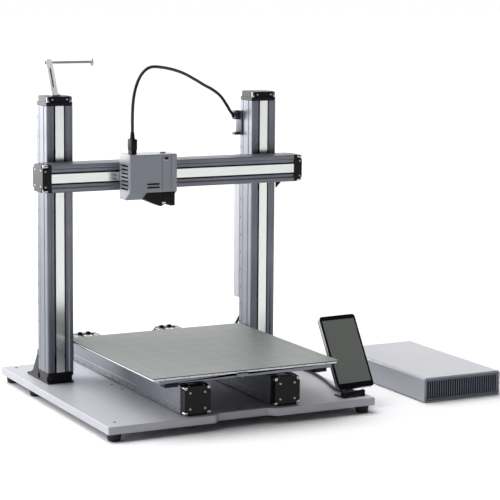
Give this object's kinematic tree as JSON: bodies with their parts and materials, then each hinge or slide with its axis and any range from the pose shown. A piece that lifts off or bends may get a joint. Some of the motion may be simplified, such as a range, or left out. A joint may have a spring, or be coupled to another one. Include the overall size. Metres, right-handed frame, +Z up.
{
  "type": "fdm printer",
  "caption": "Desktop filament printer: a print head on a beam between two columns, over a sliding bed on a base plate, with a tilting touchscreen and a separate power unit.",
  "frame": {"origin": "on the surface it stands on, at the middle of its footprint with the power unit", "axes": "+Z up, +Y to the back of the machine, +X to the right seen from the front"},
  "size_m": [0.7738, 0.521, 0.5973],
  "materials": {
    "painted_plate": "satin light grey paint",
    "anodised": "satin anodised",
    "steel_strip": "brushed",
    "steel": "machined",
    "black_cap": "semi-gloss moulded",
    "black_rubber": "matte",
    "black_metal": "black anodised",
    "print_sheet": "fine matte texture",
    "head_plastic": "satin moulded",
    "black_plastic": "matte moulded",
    "copper": "machined",
    "white_metal": "satin",
    "screen_glass": "gloss front, satin frame",
    "power_sleeve": "satin anodised",
    "cable": "satin jacket"
  },
  "bodies": {
    "base": {"base_plate": "painted_plate", "foot_front_left": "black_rubber", "foot_front_right": "black_rubber", "foot_middle_left": "black_rubber", "foot_middle_right": "black_rubber", "foot_back_left": "black_rubber", "foot_back_right": "black_rubber", "y_left_rail": "anodised", "y_left_strip": "steel_strip", "y_left_front_cap": "black_cap", "y_left_back_cap": "black_cap", "y_right_rail": "anodised", "y_right_strip": "steel_strip", "y_right_front_cap": "black_cap", "y_right_back_cap": "black_cap", "z_left_rail": "anodised", "z_left_strip": "steel_strip", "z_left_foot_cap": "black_cap", "z_left_top_cap": "black_cap", "z_right_rail": "anodised", "z_right_strip": "steel_strip", "z_right_foot_cap": "black_cap", "z_right_top_cap": "black_cap", "spool_arm": "white_metal", "spool_rod": "white_metal", "controller_case": "painted_plate", "cable_clip": "black_metal", "screen_stand": "black_metal", "power_case": "power_sleeve", "power_grille": "power_sleeve", "screen_cable": "cable", "head_cable_upper": "cable"},
    "bed": {"y_left_carriage": "black_metal", "y_right_carriage": "black_metal", "bed_frame": "anodised", "heater_plate": "anodised", "print_sheet": "print_sheet"},
    "beam": {"z_left_carriage": "black_metal", "z_right_carriage": "black_metal", "x_rail": "anodised", "x_strip": "steel_strip", "x_left_cap": "black_cap", "x_right_cap": "black_cap"},
    "head": {"x_carriage": "black_metal", "head_cover": "head_plastic", "head_frame": "anodised", "part_cooling_duct": "black_plastic", "hot_end_nozzle": "copper", "head_plug": "black_plastic", "head_cable_lower": "cable"},
    "screen": {"screen_body": "screen_glass"},
    "power_rocker": {"power_switch": "black_plastic"},
    "feed_gear": {"feed_gear": "steel"},
    "idler": {"idler_wheel": "steel"},
    "fan": {"cooling_fan": "black_plastic"},
    "x_screw": {"x_lead_screw": "steel"},
    "y_left_screw": {"y_left_lead_screw": "steel"},
    "y_right_screw": {"y_right_lead_screw": "steel"},
    "z_left_screw": {"z_left_lead_screw": "steel"},
    "z_right_screw": {"z_right_lead_screw": "steel"}
  },
  "joints": [
    {"name": "y_slide", "type": "slide", "parent": "base", "child": "bed", "axis": [0, 1, 0], "range_m": [-0.107, 0.243]},
    {"name": "z_slide", "type": "slide", "parent": "base", "child": "beam", "axis": [0, 0, 1], "range_m": [-0.245, 0.075], "deforming": ["head_cable_upper"]},
    {"name": "x_slide", "type": "slide", "parent": "beam", "child": "head", "axis": [1, 0, 0], "range_m": [-0.125, 0.227], "deforming": ["head_cable_lower"]},
    {"name": "y_left_screw_turn", "type": "hinge", "parent": "base", "child": "y_left_screw", "pos_m": [-0.2187, -0.00305, 0.0538], "axis": [0, 1, 0], "range_deg": [-1950, 4400]},
    {"name": "y_right_screw_turn", "type": "hinge", "parent": "base", "child": "y_right_screw", "pos_m": [-0.0515, -0.00305, 0.0538], "axis": [0, 1, 0], "range_deg": [-1950, 4400]},
    {"name": "z_left_screw_turn", "type": "hinge", "parent": "base", "child": "z_left_screw", "pos_m": [-0.33485, 0.09545, 0.277], "axis": [0, 0, 1], "range_deg": [-11050, 3400]},
    {"name": "z_right_screw_turn", "type": "hinge", "parent": "base", "child": "z_right_screw", "pos_m": [0.06465, 0.09545, 0.277], "axis": [0, 0, 1], "range_deg": [-11050, 3400]},
    {"name": "x_screw_turn", "type": "hinge", "parent": "beam", "child": "x_screw", "pos_m": [-0.1351, 0.04295, 0.39675], "axis": [1, 0, 0], "range_deg": [-2350, 4200]},
    {"name": "feed_turn", "type": "hinge", "parent": "head", "child": "feed_gear", "pos_m": [-0.18225, -0.00705, 0.40375], "axis": [0, 1, 0], "continuous": true},
    {"name": "idler_turn", "type": "hinge", "parent": "head", "child": "idler", "pos_m": [-0.16945, -0.00705, 0.40375], "axis": [0, 1, 0], "continuous": true},
    {"name": "fan_turn", "type": "hinge", "parent": "head", "child": "fan", "pos_m": [-0.22135, 0.00895, 0.39675], "axis": [0, 1, 0], "continuous": true},
    {"name": "screen_tilt", "type": "hinge", "parent": "base", "child": "screen", "pos_m": [0.081, -0.23505, 0.0336], "axis": [-0.9974, -0.0715, 0], "range_deg": [-25, 5]},
    {"name": "power_rocker", "type": "hinge", "parent": "base", "child": "power_rocker", "pos_m": [0.3629, 0.05995, 0.0225], "axis": [1, 0, 0], "range_deg": [0, 14]}
  ],
  "couplings": [
    {"joint": "y_left_screw_turn", "follows": "y_slide", "rad_per_m": 314.16},
    {"joint": "y_right_screw_turn", "follows": "y_slide", "rad_per_m": 314.16},
    {"joint": "z_left_screw_turn", "follows": "z_slide", "rad_per_m": 785.4},
    {"joint": "z_right_screw_turn", "follows": "z_slide", "rad_per_m": 785.4},
    {"joint": "x_screw_turn", "follows": "x_slide", "rad_per_m": 314.16}
  ]
}
